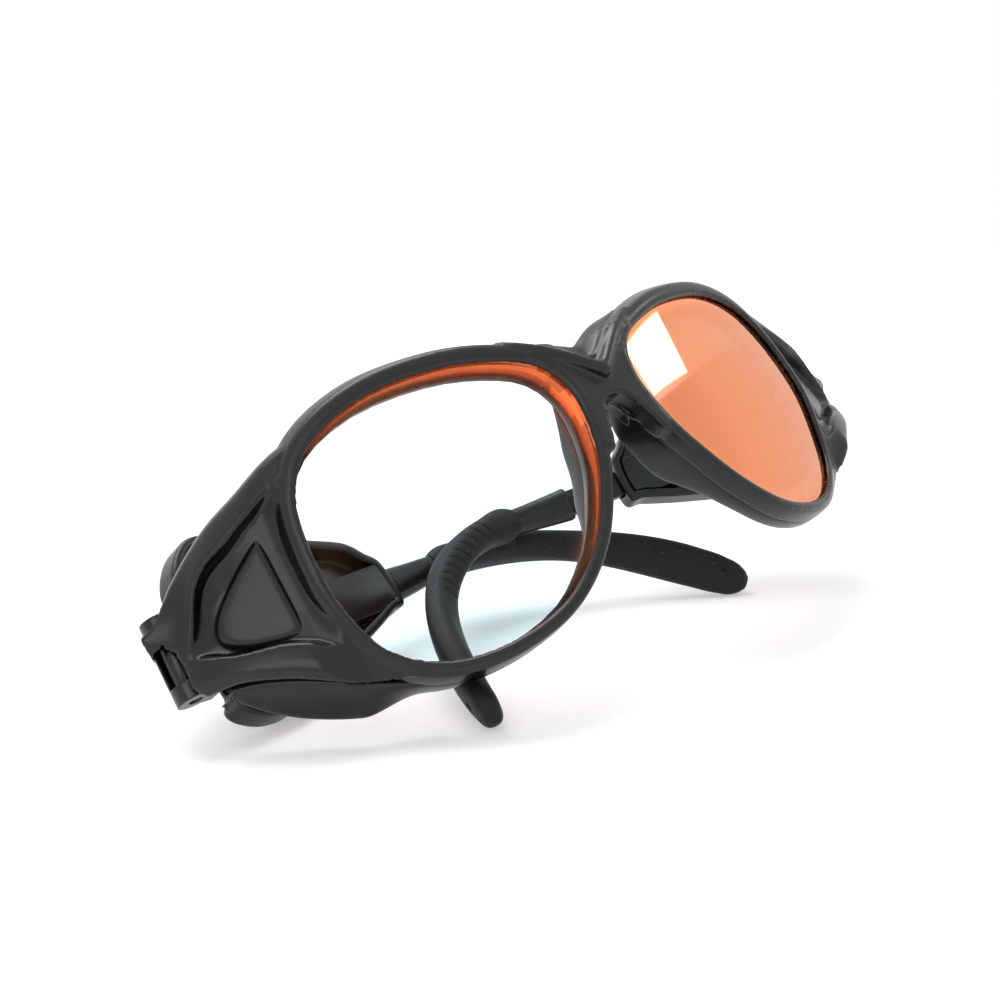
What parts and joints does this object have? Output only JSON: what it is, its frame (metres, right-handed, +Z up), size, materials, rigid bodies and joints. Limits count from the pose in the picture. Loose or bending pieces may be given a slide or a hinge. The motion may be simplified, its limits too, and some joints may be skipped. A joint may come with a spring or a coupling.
{
  "type": "laser safety glasses",
  "caption": "Wrap-round laser safety glasses: a moulded front frame with thick filter lenses and side webs, on folding temples that tilt, slide and end in rubber ear tips bent by hand.",
  "frame": {"origin": "on the surface the glasses rest on, under the middle of their box", "axes": "+Z up; +X to the side, along the front frame from its left hinge to its right one; +Y from the lenses back towards the folded ear tips. The glasses rest on one temple head and both ear tips, so the front frame leans back 37 degrees and 8 degrees to its left"},
  "size_m": [0.1554, 0.0586, 0.0641],
  "materials": {
    "nylon": "satin moulded black",
    "hinge": "smooth black",
    "lens": "coated filter, warm reflection",
    "rubber": "matt",
    "steel": "plain"
  },
  "bodies": {
    "frame": {"front_frame": "nylon", "left_lens": "lens", "right_lens": "lens", "left_retainer": "nylon", "right_retainer": "nylon", "left_side_panel": "nylon", "right_side_panel": "nylon", "left_lower_guard": "nylon", "right_lower_guard": "nylon", "left_hinge_bracket": "hinge", "right_hinge_bracket": "hinge", "left_hinge_pin": "steel", "right_hinge_pin": "steel"},
    "left_hinge": {"left_yoke": "hinge"},
    "left_head": {"left_temple_head": "nylon", "left_head_cover": "nylon", "left_tilt_screw": "steel"},
    "left_arm": {"left_temple_arm": "nylon", "left_core_wire": "steel", "left_ear_tip": "rubber"},
    "right_hinge": {"right_yoke": "hinge"},
    "right_head": {"right_temple_head": "nylon", "right_head_cover": "nylon", "right_tilt_screw": "steel"},
    "right_arm": {"right_temple_arm": "nylon", "right_core_wire": "steel", "right_ear_tip": "rubber"}
  },
  "joints": [
    {"name": "left_fold", "type": "hinge", "parent": "frame", "child": "left_hinge", "pos_m": [-0.0725, 0.00511, 0.01281], "axis": [-0.1174, 0.6011, 0.7905], "range_deg": [0, 72]},
    {"name": "left_tilt", "type": "hinge", "parent": "left_hinge", "child": "left_head", "pos_m": [-0.06415, 0.00847, 0.01201], "axis": [0.2745, -0.7453, 0.6076], "range_deg": [-6, 4]},
    {"name": "left_slide", "type": "slide", "parent": "left_head", "child": "left_arm", "axis": [0.9405, 0.3396, -0.0083], "range_m": [0, 0.012]},
    {"name": "right_fold", "type": "hinge", "parent": "frame", "child": "right_hinge", "pos_m": [0.07409, 0.00511, 0.03459], "axis": [0.1174, -0.6011, -0.7905], "range_deg": [0, 72]},
    {"name": "right_tilt", "type": "hinge", "parent": "right_hinge", "child": "right_head", "pos_m": [0.0658, 0.00759, 0.03198], "axis": [0.3184, 0.7768, -0.5434], "range_deg": [-6, 0]},
    {"name": "right_slide", "type": "slide", "parent": "right_head", "child": "right_arm", "axis": [-0.9473, 0.2396, -0.2127], "range_m": [-0.01125, 0.00075]}
  ],
  "couplings": [
    {"joint": "right_fold", "follows": "left_fold", "ratio": 1}
  ]
}
